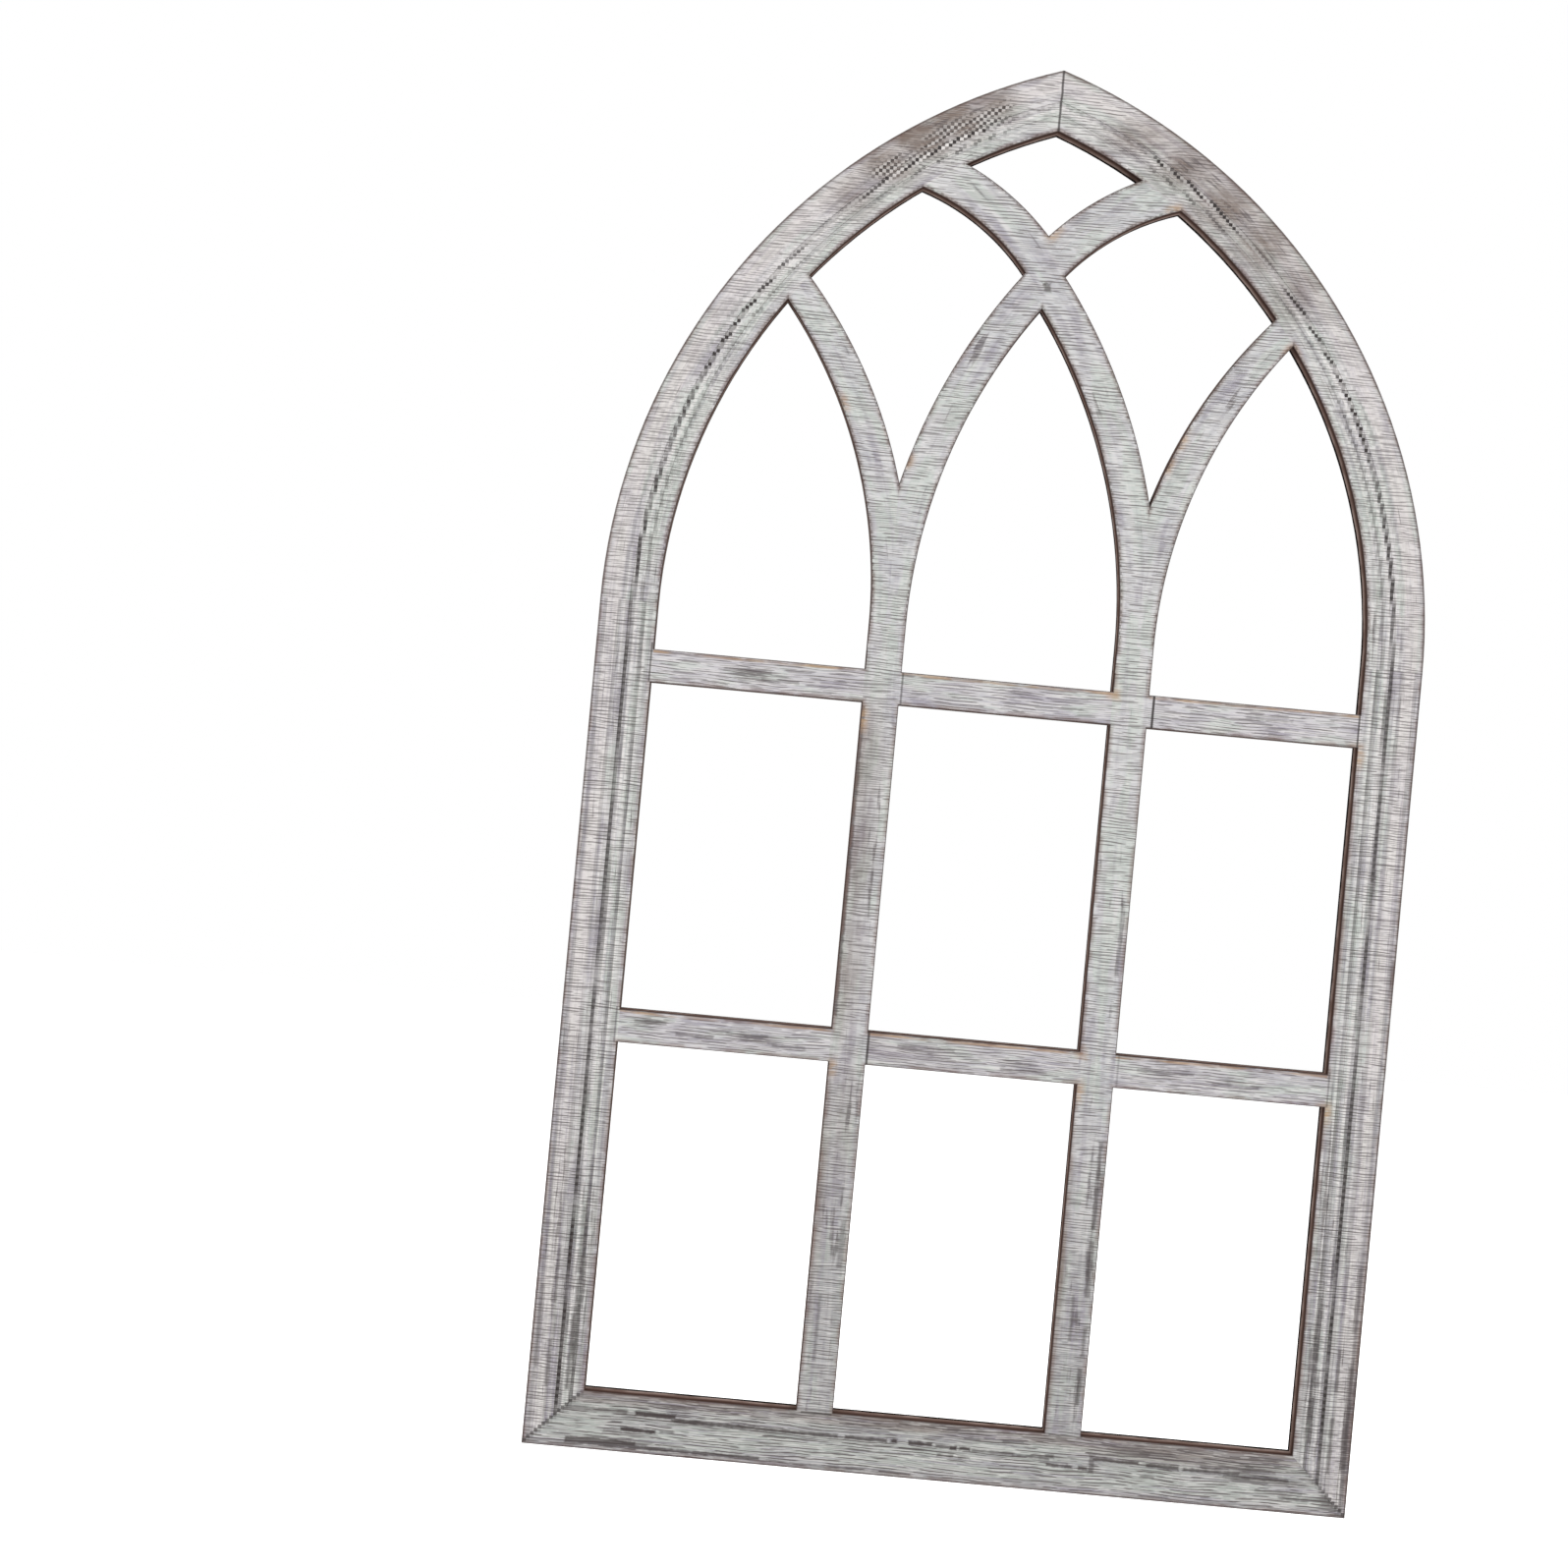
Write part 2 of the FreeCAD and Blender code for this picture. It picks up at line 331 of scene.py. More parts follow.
RAIL_TINTS = [  # the same for the bottom rail
    (23, 4.5, FRINGE, 0.75),
    (24, 3.4, BURNT, 0.8),
    (9, 6, GREENISH, 0.85),
    (1.5, 2.5, LAVENDER, 0.6),
]
PALE_PATCHES = {  # x, z, half width, half height and strength of the palest paint
    "mullion": [
        (53, 262, 12, 80, 0.8),
        (53, 350, 16, 50, 0.8),
        (-53, 345, 14, 30, 0.7),
        (-53, 40, 12, 30, 0.5),
    ],
    "rib": [
        (-150, 420, 24, 60, 0.8),
        (150, 440, 26, 50, 0.6),
        (-104, 505, 22, 20, 0.5),
        (10, 585, 26, 12, 0.5),
    ],
    "rising_right": [
        (-46, 425, 14, 30, 0.9),
        (42, 552, 20, 14, 0.7),
    ],
    "rising_left": [
        (48, 420, 14, 40, 0.9),
    ],
    "outer_tracery": [
        (-98, 482, 16, 24, 0.8),
        (62, 420, 16, 40, 0.6),
        (100, 484, 16, 16, 0.6),
    ],
}
SCORCHES = [  # x, z and radius of the scorched corners and edges
    (46, 337, 8),
    (151, 322, 8),
    (47, 185, 6),
    (48, 170, 8),
    (152, 170, 8),
    (-57, 170, 7),
    (-59, 318, 9),
    (-78, 452, 7),
    (-57, 443, 7),
    (-51, 429, 6),
    (58, 437, 8),
    (63, 449, 9),
    (107, 490, 6),
    (3, 530, 7),
    (52, 546, 6),
]
WORN_PATCHES = [  # x, z and radius of the patches where the lines of the ribs are darkest
    (-48, 568, 36),
    (60, 556, 34),
    (-128, 478, 24),
    (138, 462, 24),
]
MOTTLED = [  # x, z and radius of the patches that are dotted like a chess board
    (-66, 554, 20),
    (-48, 569, 22),
    (-30, 579, 20),
]
FADED = [  # x, z and radius of the patches where the lines of the ribs fade
    (-6, 575, 22),
    (18, 572, 34),
]
PLAIN_GRAIN = 0.7  # how dark the grain is on most members
GRAIN_DEPTH = {"rail": 0.9, "rib": 0.6}  # how dark it is on the others
JOINTS = [  # x, z, half width, half height and strength of the lines where members meet
    (62.6, 333, 0.6, 7.6, 0.95),
    (-44.3, 333, 0.5, 7.6, 0.6),
    (150.2, 333, 0.5, 7.6, 0.8),
    (-151.3, 334, 0.5, 8.4, 0.7),
    (-44.6, 180, 0.6, 7.8, 0.85),
    (-151.8, 180, 0.5, 7.6, 0.45),
    (151.4, 180, 0.5, 7.6, 0.45),
    (61.8, 180, 0.5, 7.6, 0.3),
    (-52, 23.8, 6.6, 0.6, 0.6),
    (54, 23.9, 7.2, 0.5, 0.5),
]
DASHES = {  # x, z, half width, half height and strength of the short dark dashes
    "rail": [
        (-145, 16.8, 13.5, 1.1, 0.55),
        (-119.5, 16.8, 8.6, 1.0, 0.95),
        (-95, 15.2, 18, 0.8, 0.85),
        (-60, 15.0, 18, 0.8, 0.8),
        (-30, 15.0, 9, 0.9, 0.8),
        (-18.2, 15.0, 1.4, 0.9, 0.95),
        (-7, 15.0, 5, 0.9, 0.9),
        (3, 14.6, 3.4, 0.9, 0.7),
        (7, 14.4, 1.6, 0.9, 0.95),
        (12, 14.6, 2.4, 0.9, 0.9),
        (24, 14.2, 9, 0.7, 0.55),
        (40, 13.7, 8, 0.6, 0.7),
        (48, 14.8, 2, 0.9, 0.6),
        (52.5, 11.1, 5.6, 0.7, 0.85),
        (62.5, 11.0, 2, 0.9, 0.85),
        (4, 11.0, 3.4, 0.6, 0.65),
        (12, 10.8, 2.6, 0.6, 0.55),
        (66, 13, 1.2, 4, 0.6),
        (76, 15.3, 10, 0.8, 0.85),
        (96, 14.6, 7, 1.0, 0.8),
        (117, 14.4, 12, 0.9, 0.7),
        (136, 13.4, 14, 0.7, 0.6),
        (128, 16.4, 16, 0.5, 0.5),
        (-126.5, 9.7, 7.6, 0.9, 0.95),
        (-137, 8.4, 4, 0.7, 0.45),
        (-114, 9.9, 3.2, 0.6, 0.5),
        (90, 9.8, 3.2, 0.7, 0.5),
        (-142, 3.4, 15, 1.5, 0.8),
        (-102, 2.5, 28, 0.8, 0.8),
        (-40, 1.8, 30, 0.5, 0.45),
        (160, 6.2, 14, 0.6, 0.55),
        (146, 8.6, 10, 0.5, 0.5),
    ],
    "mullion": [
        (57.6, 45, 1.0, 8, 0.6),
        (58, 64, 0.8, 6, 0.5),
        (57.6, 95, 1.2, 12, 0.55),
        (57.6, 121, 1.0, 9, 0.65),
        (57.6, 141, 0.8, 8, 0.55),
        (52, 74, 0.7, 10, 0.45),
        (57.6, 236, 0.8, 16, 0.4),
        (-48, 96, 1.2, 10, 0.4),
        (-55, 60, 0.7, 14, 0.35),
        (-60.2, 258, 1.3, 66, 0.7),
    ],
    "stile": [
        (157, 40, 0.8, 10, 0.55),
        (157, 78, 0.7, 14, 0.4),
        (166, 30, 0.8, 12, 0.6),
        (166.5, 62, 0.7, 9, 0.5),
        (172, 42, 1.3, 22, 0.5),
        (172, 92, 1.0, 14, 0.4),
        (174, 229, 1.0, 8, 0.5),
        (-158, 40, 0.9, 16, 0.55),
        (-157.5, 88, 0.7, 14, 0.45),
        (-167, 35, 0.8, 10, 0.5),
        (-166.5, 72, 0.7, 12, 0.5),
        (-172, 50, 0.9, 18, 0.4),
        (-162, 60, 0.8, 30, 0.4),
    ],
    "muntin": [
        (-137, 182, 7, 0.8, 0.4),
        (-118, 178, 8, 0.7, 0.5),
        (-96, 180.5, 9, 0.7, 0.45),
        (-78, 177, 7, 0.7, 0.4),
        (-20, 182, 12, 0.6, 0.4),
        (22, 176, 10, 0.6, 0.4),
        (82, 181, 12, 0.6, 0.45),
        (112, 178, 10, 0.6, 0.45),
        (-110, 334, 10, 0.7, 0.35),
        (-96, 331, 8, 0.7, 0.45),
        (112, 334, 10, 0.6, 0.4),
    ],
    "rising_left": [
        (1.6, 507.8, 1.4, 2.0, 0.65),
    ],
}
SMUDGES = {  # x, z, half width, half height and strength of each member's dark smudges
    "rail": [
        (90, 20, 36, 5, 1.0),
        (132, 18, 32, 6, 1.1),
        (140, 13, 30, 4, 1.1),
        (20, 20, 36, 4, 0.7),
        (-30, 21, 30, 4, 0.7),
        (-110, 21, 40, 3, 0.7),
        (-132, 5, 30, 5, 0.8),
        (-105, 15, 46, 4, 0.7),
        (168, 8, 10, 12, 0.8),
    ],
    "mullion": [
        (-52, 97, 7, 20, 0.8),
        (-51, 150, 7, 50, 0.6),
        (57, 95, 5, 14, 1.0),
        (57, 132, 4.5, 30, 0.9),
        (57, 45, 4.5, 22, 0.8),
        (52, 74, 4.5, 20, 0.7),
        (57, 235, 4, 40, 0.7),
        (-50, 255, 6, 60, 0.4),
    ],
    "muntin": [
        (-137, 182, 12, 7, 1.1),
        (-92, 179, 26, 7, 1.1),
        (-20, 179, 24, 7, 0.6),
        (20, 178, 24, 7, 0.9),
        (80, 180, 18, 7, 0.9),
        (112, 179, 14, 6, 0.7),
        (-108, 333, 16, 7, 1.3),
        (-78, 331, 16, 6, 0.7),
        (110, 333, 20, 6, 0.7),
        (5, 333, 16, 5, 0.5),
    ],
    "stile": [
        (173, 30, 4, 50, 1.2),
        (156, 60, 4, 60, 0.9),
        (-156, 60, 4, 70, 0.9),
        (174, 229, 2, 10, 0.9),
        (-168, 90, 3, 60, 0.6),
        (154, 140, 3, 70, 0.6),
    ],
    "rib": [
        (153, 380, 3, 24, 0.8),
        (-168, 390, 3, 20, 0.5),
        (57, 566, 8, 5, 0.8),
        (68, 559, 9, 5, 0.8),
        (82, 546, 9, 6, 0.8),
        (96, 531, 8, 6, 0.6),
        (-62, 560, 9, 6, 0.6),
        (-48, 571, 10, 6, 0.9),
        (-34, 580, 9, 5, 0.7),
    ],
    "rising_right": [
        (-26, 482, 7, 18, 1.2),
    ],
    "rising_left": [
        (-25, 548, 10, 8, 0.5),
        (28, 462, 6, 16, 0.7),
    ],
    "outer_tracery": [
        (-81, 470, 6, 14, 0.7),
        (84, 468, 6, 16, 0.9),
    ],
}
STAINS = {  # x, z, half width, half height and strength of each member's brown stains
    "rail": [
        (100, 19, 64, 6, 0.8),
        (-20, 21, 40, 3, 0.5),
    ],
    "mullion": [
        (-57, 210, 13, 50, 0.8),
        (-57, 258, 13, 50, 0.8),
        (-57, 300, 13, 45, 0.8),
        (-60, 120, 6, 90, 0.9),
        (-61, 250, 4, 100, 1.2),
        (-52, 150, 9, 50, 0.5),
        (46, 90, 3, 80, 0.8),
    ],
    "stile": [
        (174, 60, 4, 80, 0.8),
        (151, 250, 2.5, 90, 0.6),
    ],
    "rib": [
        (-84, 538, 18, 15, 0.9),
        (-70, 553, 20, 14, 1.6),
        (-57, 565, 20, 13, 2.2),
        (-43, 574, 20, 13, 2.2),
        (-28, 582, 18, 12, 1.5),
        (34, 574, 26, 13, 1.0),
        (56, 563, 26, 16, 1.3),
        (73, 549, 26, 20, 1.3),
        (90, 534, 24, 22, 1.2),
        (106, 516, 20, 24, 0.9),
    ],
    "muntin": [
        (-30, 180, 40, 9, 0.3),
    ],
}


def spots(graph, places):
    """1 at the middle of each place, falling to 0 at its radius."""
    total = 0
    for x, z, radius in places:
        total = graph.length(graph.x - x, graph.z - z).fall(0, radius).most(total)
    return total


def ovals(graph, places):
    """Each place's strength at its middle, falling to 0 at the edge of its oval."""
    total = 0
    for x, z, wide, high, strength in places:
        away = graph.length((graph.x - x) / wide, (graph.z - z) / high)
        total = (away.fall(0, 1) * strength).most(total)
    return total


def boxes(graph, places, soft=0.3, ragged=0):
    """Each place's strength inside its rectangle, falling to 0 over a soft, ragged edge."""
    total = 0
    for x, z, wide, high, strength in places:
        inside = (wide - abs(graph.x - x)).least(high - abs(graph.z - z)) + ragged
        total = (inside.rise(-soft / 2, soft) * strength).most(total)
    return total


def joint_lines(graph):
    """Dark lines where members meet, with the joint at the apex and the mitres' stepped dots."""
    total = boxes(graph, JOINTS)
    wobble = (graph.noise(graph.z / 9, 0, seed=91) - 0.5) * 1.2
    apex = abs(graph.x + wobble).fall(0.25, 0.7) * graph.z.rise(APEX - APEX_JOINT - 2, APEX - APEX_JOINT)
    total = total.most(apex * 0.85)
    inset = HALF_WIDTH - abs(graph.stepped(graph.x))
    height = graph.stepped(graph.z)
    mitre = abs(inset - height).fall(0.5, 1.3) * (inset + height).fall(MITRE_REACH - 3, MITRE_REACH)
    right_strength = graph.z.fall(2, 26) * 0.7 + 0.1
    return total.most(mitre * graph.x.over(0).choose(right_strength, 0.75))


def swaying_height(graph):
    """The height of a place in grain that sways up and down a little."""
    slow = graph.blotches(wide=45, high=14, seed=21) * 4
    quick = graph.blotches(wide=9, high=3, seed=23) * 0.4
    return graph.z + slow + quick


def strokes(graph, height, density, spacing, thickness, reach, seed):
    """Broken, tapering grain strokes that run across the frame from side to side."""
    rows = height / spacing
    row = rows.round()
    presence = graph.noise(graph.x / reach, row * 3.7, seed, detail=1) + density
    breadth = presence.rise(0.43, 0.54) * thickness
    gap = abs(rows - row) * spacing
    return (breadth - gap).rise(0, 0.08)


def bands(graph, across, along, places):
    """Lengthwise bands that come and go along the member."""
    sway = (graph.noise(along / 30, across / 9, seed=11) - 0.5) * 0.9
    come = 0.4 + 0.6 * graph.noise(along / 24, across / 2.5, seed=17).rise(0.3, 0.55)
    total = 0
    for inset, half, strength in places:
        band = abs(across + sway - inset).fall(half * 0.55, half * 1.2) * strength
        total = band.most(total)
    return total * come


def shared_marks():
    """A group of the marks that cross from member to member, such as grain, scorches and cut edges."""
    group = bpy.data.node_groups.new("shared_marks", "ShaderNodeTree")
    graph = Graph(group)
    height = swaying_height(graph)
    density = (graph.blotches(wide=24, high=10, seed=25) - 0.5) * 0.5
    uneven = graph.blotches(wide=5, high=2, seed=31).rise(0.25, 0.55)
    marks = {
        "grain": strokes(graph, height, density, spacing=1.3, thickness=0.26, reach=14, seed=27),
        "fine_grain": strokes(graph, height, 0 - density, spacing=0.87, thickness=0.2, reach=8, seed=47),
        "light_grain": strokes(graph, height, density * 0.5, spacing=0.97, thickness=0.26, reach=8, seed=67),
        "worn": spots(graph, WORN_PATCHES),
        "scorch": spots(graph, SCORCHES) * uneven,
        "joint": joint_lines(graph),
        "depth": edge_depth(graph),
    }
    out = group.nodes.new("NodeGroupOutput")
    for name, mark in marks.items():
        group.interface.new_socket(name, in_out="OUTPUT", socket_type="NodeSocketFloat")
        graph.feed(out.inputs[name], mark)
    return group


def cut_colour(graph):
    """The scorched sides of the board: brown, with a dark front edge and a black back edge."""
    wobble = (graph.blotches(wide=14, high=14, seed=81) - 0.5) * 0.3
    pale = graph.blotches(wide=9, high=9, seed=83).rise(0.36, 0.6)
    depth = graph.y / THICKNESS + 1 + wobble
    colour = graph.lay(CUT_BROWN, CUT_PALE, depth.rise(0.35, 0.6) * (0.25 + pale * 0.75))
    colour = graph.lay(colour, CUT_DARK, depth.fall(0.15, 0.4))
    return graph.lay(colour, CUT_BLACK, depth.rise(0.66, 0.78))


class Paint:
    """Worn pale paint over wood on one kind of member, laid colour over colour."""

    def __init__(self, kind, shared, place):
        self.kind = kind
        self.place = place
        self.material = bpy.data.materials.new(kind + "_paint")
        self.material.use_nodes = True
        self.material.node_tree.nodes.clear()
        self.graph = Graph(self.material.node_tree)
        marks = self.graph.node("Group", node_tree=shared)
        self.marks = {output.name: Field(self.graph, output) for output in marks.outputs}
        self.across, self.along = place(self.graph, self.graph.x, self.graph.z)
        self.front = self.graph.facing_y.fall(-0.6, -0.4)
        self.low = self.graph.z.fall(*GRIMY_BELOW)
        self.check = self.graph.check()
        self.bare = self.streaky(length=18, width=2.4, seed=6).rise(0.4, 0.58)
        self.clean = 1

    def streaky(self, length, width, seed):
        """Smooth noise with features of a given length along the member and width across it."""
        return self.graph.noise(self.along / length, self.across / width, seed)

    def lay(self, over, amount):
        self.colour = self.graph.lay(self.colour, over, amount)

    def ground(self, pale, dull, tints, grime):
        """Pale paint with cloudy patches, lengthwise tints and grime low down."""
        self.colour = self.graph.lay(dull, pale, self.graph.blotches(wide=35, high=35, seed=1).rise(0.4, 0.6))
        cloud = self.streaky(length=26, width=7, seed=3)
        if self.kind in PALE_PATCHES:
            cloud = cloud + ovals(self.graph, PALE_PATCHES[self.kind]) * 0.15
        self.lay(GREENISH, cloud.rise(0.5, 0.62) * 0.7)
        self.lay(VIOLET, cloud.fall(0.3, 0.48) * 0.6)
        uneven = self.front * (0.4 + 0.6 * cloud.rise(0.36, 0.6))
        for inset, half, tint, strength in tints:
            self.lay(tint, uneven * abs(self.across - inset).fall(half * 0.4, half) * strength)
        self.lay(GRIME, self.low * grime)

    def streaks(self, length, width, strength):
        """Pale and lavender streaks along the member."""
        streak = self.streaky(length, width, seed=2)
        self.lay(HIGHLIGHT, streak.rise(0.5, 0.68) * 0.45 * strength)
        self.lay(LAVENDER, streak.fall(0.32, 0.5) * (0.5 * strength + self.low * 0.3))

    def stains(self):
        """Brown stains where the wood shows, strongest on the front."""
        if self.kind in STAINS:
            stain = ovals(self.graph, STAINS[self.kind]) * (0.3 + self.front * 0.7)
            self.clean = 1 - stain.least(1) * 0.6
            self.lay(BARE_WOOD, stain * (0.55 + self.bare * 0.25))

    def beads(self):
        """Worn light bands along the moulding."""
        beads = bands(self.graph, self.across, self.along, LIGHT_BANDS) * (1 - self.check * 0.6)
        self.lay(HIGHLIGHT, self.front * beads * self.clean)

    def smears(self, width, more):
        """Dark smears, most of them at the smudges and low down."""
        smears = self.streaky(length=20, width=width, seed=5)
        smears = smears + ovals(self.graph, SMUDGES[self.kind]) * 0.28 + self.low * 0.03 + more
        self.smeared = smears.rise(0.6, 0.76)
        self.lay(SMEAR, self.smeared * 0.65)

    def grain(self):
        """Light and dark grain strokes."""
        self.lay(HIGHLIGHT, self.marks["light_grain"] * self.clean * 0.4)
        self.lay(GRAIN, self.marks["grain"] * GRAIN_DEPTH.get(self.kind, PLAIN_GRAIN))
        self.lay(GRAIN, self.marks["fine_grain"] * 0.5)

    def moulding(self, lines):
        """The moulding's dark lines, with pale dots between the dark ones towards the apex."""
        graph = self.graph
        dots = self.place(graph, graph.stepped(graph.x), graph.stepped(graph.z))[0]
        faded = spots(graph, FADED).rise(0, 0.5)
        strength = (1 + self.marks["worn"] * 0.6 + self.low * 0.15) * (1 - faded * 0.75)
        mottled = spots(graph, MOTTLED).rise(0, 0.6)
        rows = mottled * abs(dots - MOTTLED_INSET).fall(2, 7) * self.bare * 0.8
        dark = (bands(graph, dots, self.along, lines) * strength).most(rows) * self.front
        dotted = graph.z.rise(*DOTTED_ABOVE) * (0.5 + mottled * 0.35) + 0.08
        self.lay(LINE, dark * (1 - dotted * self.check))
        self.lay(HIGHLIGHT, dark * dotted * self.check * 0.7)

    def dashes(self):
        """Short dark dashes with ragged edges."""
        if self.kind in DASHES:
            broken = 0.75 + 0.25 * self.marks["grain"].fall(0, 1)
            ragged = (self.graph.blotches(wide=3, high=3, seed=95) - 0.4) * 1.6
            dashes = boxes(self.graph, DASHES[self.kind], soft=0.8, ragged=ragged)
            self.lay(DASH, self.front * dashes * broken)

    def scorches(self):
        """Tan scorches at the corners and along the muntins' upper edges."""
        self.lay(SCORCH, self.marks["scorch"] * self.marks["depth"].fall(1, 5) * 0.75)
        if self.kind == "muntin":
            for _, top in (LOWER_MUNTIN, UPPER_MUNTIN):
                self.lay(SCORCH, abs(self.graph.z - top + 0.9).fall(0.2, 0.9) * self.bare * 0.7)

    def edges(self, fringe):
        """Brown fringes, burnt edges with teeth on the ribs, and the joints' lines."""
        graph, depth = self.graph, self.marks["depth"]
        patchy = graph.blotches(wide=9, high=9, seed=33).rise(0.36, 0.58)
        self.lay(FRINGE, depth.fall(0.3, 2.4) * patchy * fringe)
        outer = frame_inset(graph).fall(1, 2)
        teeth = depth.fall(0.6, 1.5) * self.check * graph.z.over(SPRINGING) * 0.6
        burnt = (depth - outer * 0.4).fall(0.1, 0.6).most(teeth)
        self.lay(BURNT, burnt * (0.9 - outer * 0.25))
        self.lay(LINE, self.front * self.marks["joint"])

    def finished(self):
        """The material, with the cut sides, the gloss and the fine bump of the grain."""
        graph = self.graph
        is_cut = abs(graph.facing_y).fall(0.4, 0.6) * self.marks["depth"].fall(0.5, 1.5)
        self.lay(cut_colour(graph), is_cut)
        bump = graph.node("Bump")
        bump.inputs["Strength"].default_value = 0.35
        bump.inputs["Distance"].default_value = 0.0002
        graph.feed(bump.inputs["Height"], graph.blotches(wide=8, high=0.5, seed=71, detail=3))
        rough = 0.62 + 0.2 * self.marks["grain"].most(self.smeared) + 0.1 * is_cut
        paint = graph.node("BsdfPrincipled")
        graph.feed(paint.inputs["Base Color"], self.colour)
        graph.feed(paint.inputs["Roughness"], rough)
        graph.feed(paint.inputs["Normal"], bump.outputs[0])
        graph.feed(paint.inputs["Specular IOR Level"], 0.25 - 0.25 * is_cut)
        out = graph.node("OutputMaterial")
        graph.feed(out.inputs["Surface"], paint.outputs[0])
        return self.material


def weathered(kind, shared, place, pale, dull, streak, smear, grime, lines=(), tints=(), fringe=0.55):
    """The finish of one kind of member, from the ground colour to the cut edges."""
    paint = Paint(kind, shared, place)
    paint.ground(pale, dull, tints, grime)
    paint.streaks(*streak)
    paint.stains()
    if lines:
        paint.beads()
    paint.smears(width=streak[1] * 0.8, more=smear)
    paint.grain()
    if lines:
        paint.moulding(lines)
    paint.dashes()
    paint.scorches()
    paint.edges(fringe)
    return paint.finished()


# Places across and along each kind of member
OTHER_SIDE = 900  # how far along the marks of the right-hand side lie from those of the left


def on_level(graph, x, z):
    return z, x


def on_stile(graph, x, z):
    return HALF_WIDTH - abs(x), z + x.over(0) * OTHER_SIDE


def on_rib(graph, x, z):
    reach = abs(x) + ARCH_CENTRE
    height = z - SPRINGING
    turn = graph.math("ARCTAN2", height, reach)
    return ARCH_RADIUS - graph.length(reach, height), turn * ARCH_RADIUS + x.over(0) * OTHER_SIDE


def on_upright(graph, x, z):
    return x, z


def on_long_bar(graph, x, z):
    return graph.length(x - WIDE_CENTRE, z - SPRINGING), z


def on_long_bar_leftwards(graph, x, z):
    return graph.length(x + WIDE_CENTRE, z - SPRINGING), z + OTHER_SIDE


def on_side_bar(graph, x, z):
    radius = graph.length(abs(x) - MULLION_NEAR - SIDE_UPPER_RADIUS, z - SPRINGING)
    return radius, z + x.over(0) * OTHER_SIDE


FRAME_TONES = dict(pale=srgb(219, 216, 216), dull=srgb(207, 205, 206))
BAR_TONES = dict(pale=srgb(211, 210, 211), dull=srgb(200, 200, 202))
MUNTIN_TONES = dict(pale=srgb(210, 207, 210), dull=srgb(198, 196, 200))
RAIL_TONES = dict(pale=srgb(213, 215, 211), dull=srgb(199, 202, 198))
FRAME_STREAK = (60, 1.4, 1)  # length, width and strength of the streaks along the stiles
BROAD_STREAK = (45, 3.0, 0.5)  # the same for the plain bars
FINISHES = {
    "rail": dict(
        place=on_level, streak=(42, 1.2, 0.6), smear=-0.01, grime=0.38,
        tints=RAIL_TINTS, fringe=0.4, **RAIL_TONES,
    ),
    "stile": dict(
        place=on_stile, streak=FRAME_STREAK, smear=0.0, grime=0.3,
        lines=STRAIGHT_LINES, tints=STILE_TINTS, **FRAME_TONES,
    ),
    "rib": dict(
        place=on_rib, streak=(60, 1.4, 0.7), smear=-0.03, grime=0.0,
        lines=ARCHED_LINES, tints=FRAME_TINTS, **FRAME_TONES,
    ),
    "mullion": dict(place=on_upright, streak=BROAD_STREAK, smear=-0.04, grime=0.45, **BAR_TONES),
    "muntin": dict(place=on_level, streak=(16, 0.9, 1), smear=-0.05, grime=0.4, **MUNTIN_TONES),
    "rising_right": dict(place=on_long_bar, streak=BROAD_STREAK, smear=-0.06, grime=0.0, **BAR_TONES),
    "rising_left": dict(
        place=on_long_bar_leftwards, streak=BROAD_STREAK, smear=-0.06, grime=0.0, **BAR_TONES,
    ),
    "outer_tracery": dict(place=on_side_bar, streak=BROAD_STREAK, smear=-0.06, grime=0.0, **BAR_TONES),
}

marks_group = shared_marks()
for kind, finish in FINISHES.items():
    material = weathered(kind, marks_group, **finish)
    for name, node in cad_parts.items():
        if kind in name:
            node.data.materials.clear()
            node.data.materials.append(material)


# The photograph's camera
CAMERA_PLACE = Vector((-0.0972, -1.3263, 0.282))
CAMERA_ROLL = math.radians(5.324)
CAMERA_TILT = math.radians(0.249)
CAMERA_PAN = math.radians(-0.304)
SENSOR_WIDTH = 36
FOCAL_LENGTH = 71.26
camera_data = bpy.data.cameras.new("camera")
camera_data.sensor_width = SENSOR_WIDTH
camera_data.lens = FOCAL_LENGTH
camera = bpy.data.objects.new("camera", camera_data)
bpy.context.scene.collection.objects.link(camera)
look_along_y = Matrix.Rotation(math.radians(90), 4, "X")
turn = Matrix.Rotation(CAMERA_PAN, 4, "Y") @ Matrix.Rotation(CAMERA_TILT, 4, "X")
turn = turn @ Matrix.Rotation(CAMERA_ROLL, 4, "Z")
camera.matrix_world = Matrix.Translation(CAMERA_PLACE) @ look_along_y @ turn
bpy.context.scene.camera = camera


# Plain soft studio light on a white ground
def lamp(name, place, size, power):
    """A soft lamp that looks at the middle of the window frame."""
    data = bpy.data.lights.new(name, "AREA")
    data.size = size
    data.energy = power
    made = bpy.data.objects.new(name, data)
    made.location = place
    middle = (cad_box[0] + cad_box[1]) / 2
    made.rotation_euler = (middle - made.location).to_track_quat("-Z", "Y").to_euler()
    bpy.context.scene.collection.objects.link(made)


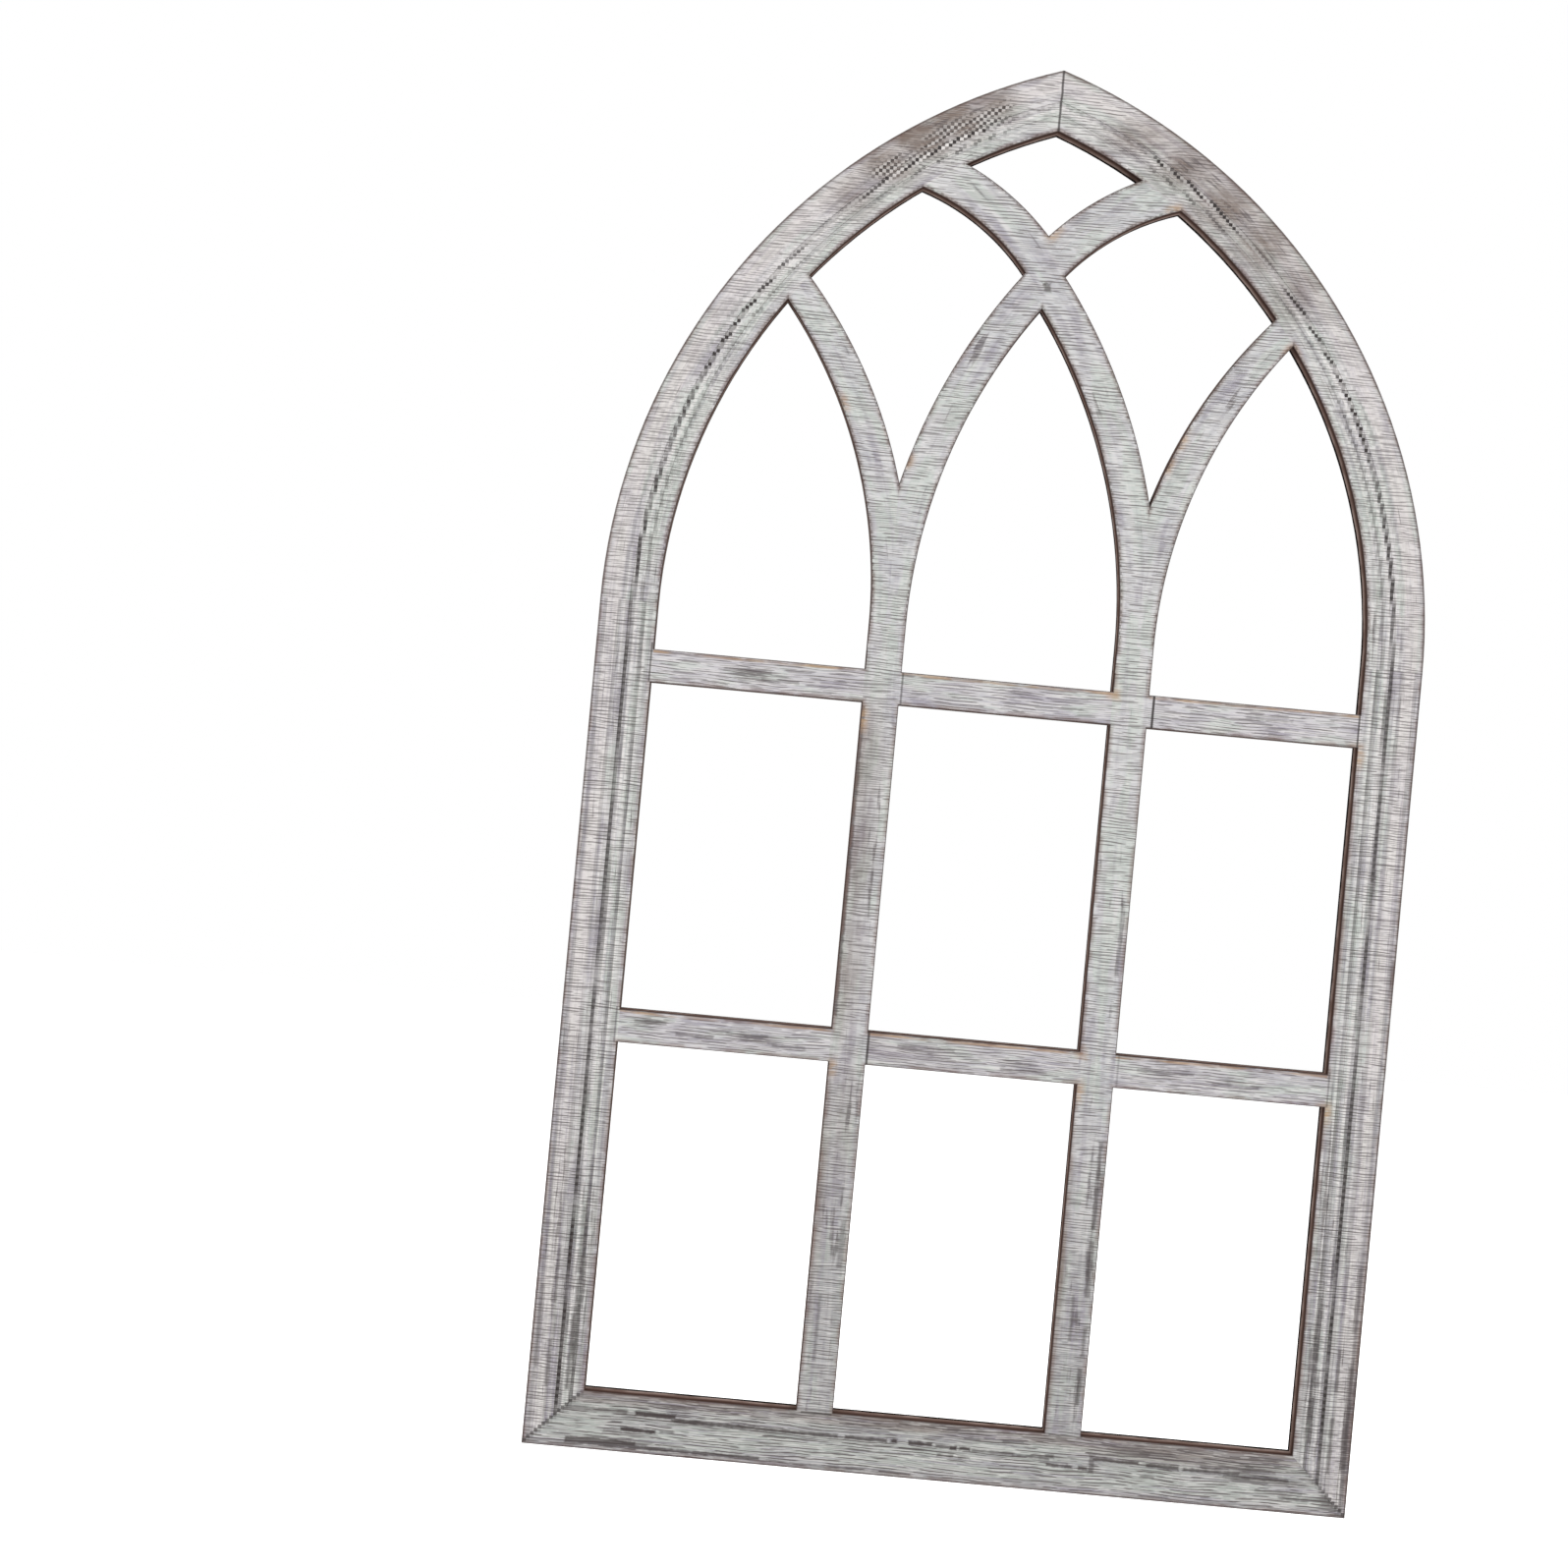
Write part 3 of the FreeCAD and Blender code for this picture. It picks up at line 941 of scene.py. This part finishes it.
lamp("key_light", Vector((-1.3, -2.2, 1.7)), 1.6, 32)
lamp("fill_light", Vector((1.6, -2.0, 0.8)), 1.6, 16)
lamp("back_light", Vector((0.6, 2.4, 1.6)), 1.8, 34)


def seen_directly(nodes, links):
    """1 for the rays that show a surface to the camera, straight or through gloss or glass."""
    path = nodes.new("ShaderNodeLightPath")
    total = path.outputs["Is Camera Ray"]
    for name in ("Is Glossy Ray", "Is Transmission Ray"):
        either = nodes.new("ShaderNodeMath")
        either.operation = "MAXIMUM"
        links.new(total, either.inputs[0])
        links.new(path.outputs[name], either.inputs[1])
        total = either.outputs[0]
    return total


SKY_LIGHT = 0.45  # how strongly the white surroundings light the frame
SKY_SHOWN = 1  # how bright they are where they show
world = bpy.data.worlds.new("white_studio")
world.use_nodes = True
bpy.context.scene.world = world
nodes, links = world.node_tree.nodes, world.node_tree.links
background = nodes["Background"]
background.inputs["Color"].default_value = (1, 1, 1, 1)
strength = nodes.new("ShaderNodeMapRange")
strength.inputs["To Min"].default_value = SKY_LIGHT
strength.inputs["To Max"].default_value = SKY_SHOWN
links.new(seen_directly(nodes, links), strength.inputs["Value"])
links.new(strength.outputs[0], background.inputs["Strength"])

FLOOR_DROP = 0.25
FLOOR_SIZE = 12
FLOOR_GLOW = 0.8  # how much the floor is brightened where it shows, so that it looks white
bpy.ops.mesh.primitive_plane_add(size=FLOOR_SIZE, location=(0, 0, -FLOOR_DROP))
floor = bpy.context.object
floor.name = "floor"
ground = bpy.data.materials.new("white_ground")
ground.use_nodes = True
nodes, links = ground.node_tree.nodes, ground.node_tree.links
paper = nodes["Principled BSDF"]
paper.inputs["Base Color"].default_value = (0.85, 0.85, 0.85, 1)
paper.inputs["Roughness"].default_value = 0.9
paper.inputs["Emission Color"].default_value = (1, 1, 1, 1)
glow = nodes.new("ShaderNodeMath")
glow.operation = "MULTIPLY"
links.new(seen_directly(nodes, links), glow.inputs[0])
glow.inputs[1].default_value = FLOOR_GLOW
links.new(glow.outputs[0], paper.inputs["Emission Strength"])
floor.data.materials.append(ground)

bpy.context.scene.view_settings.view_transform = "Standard"
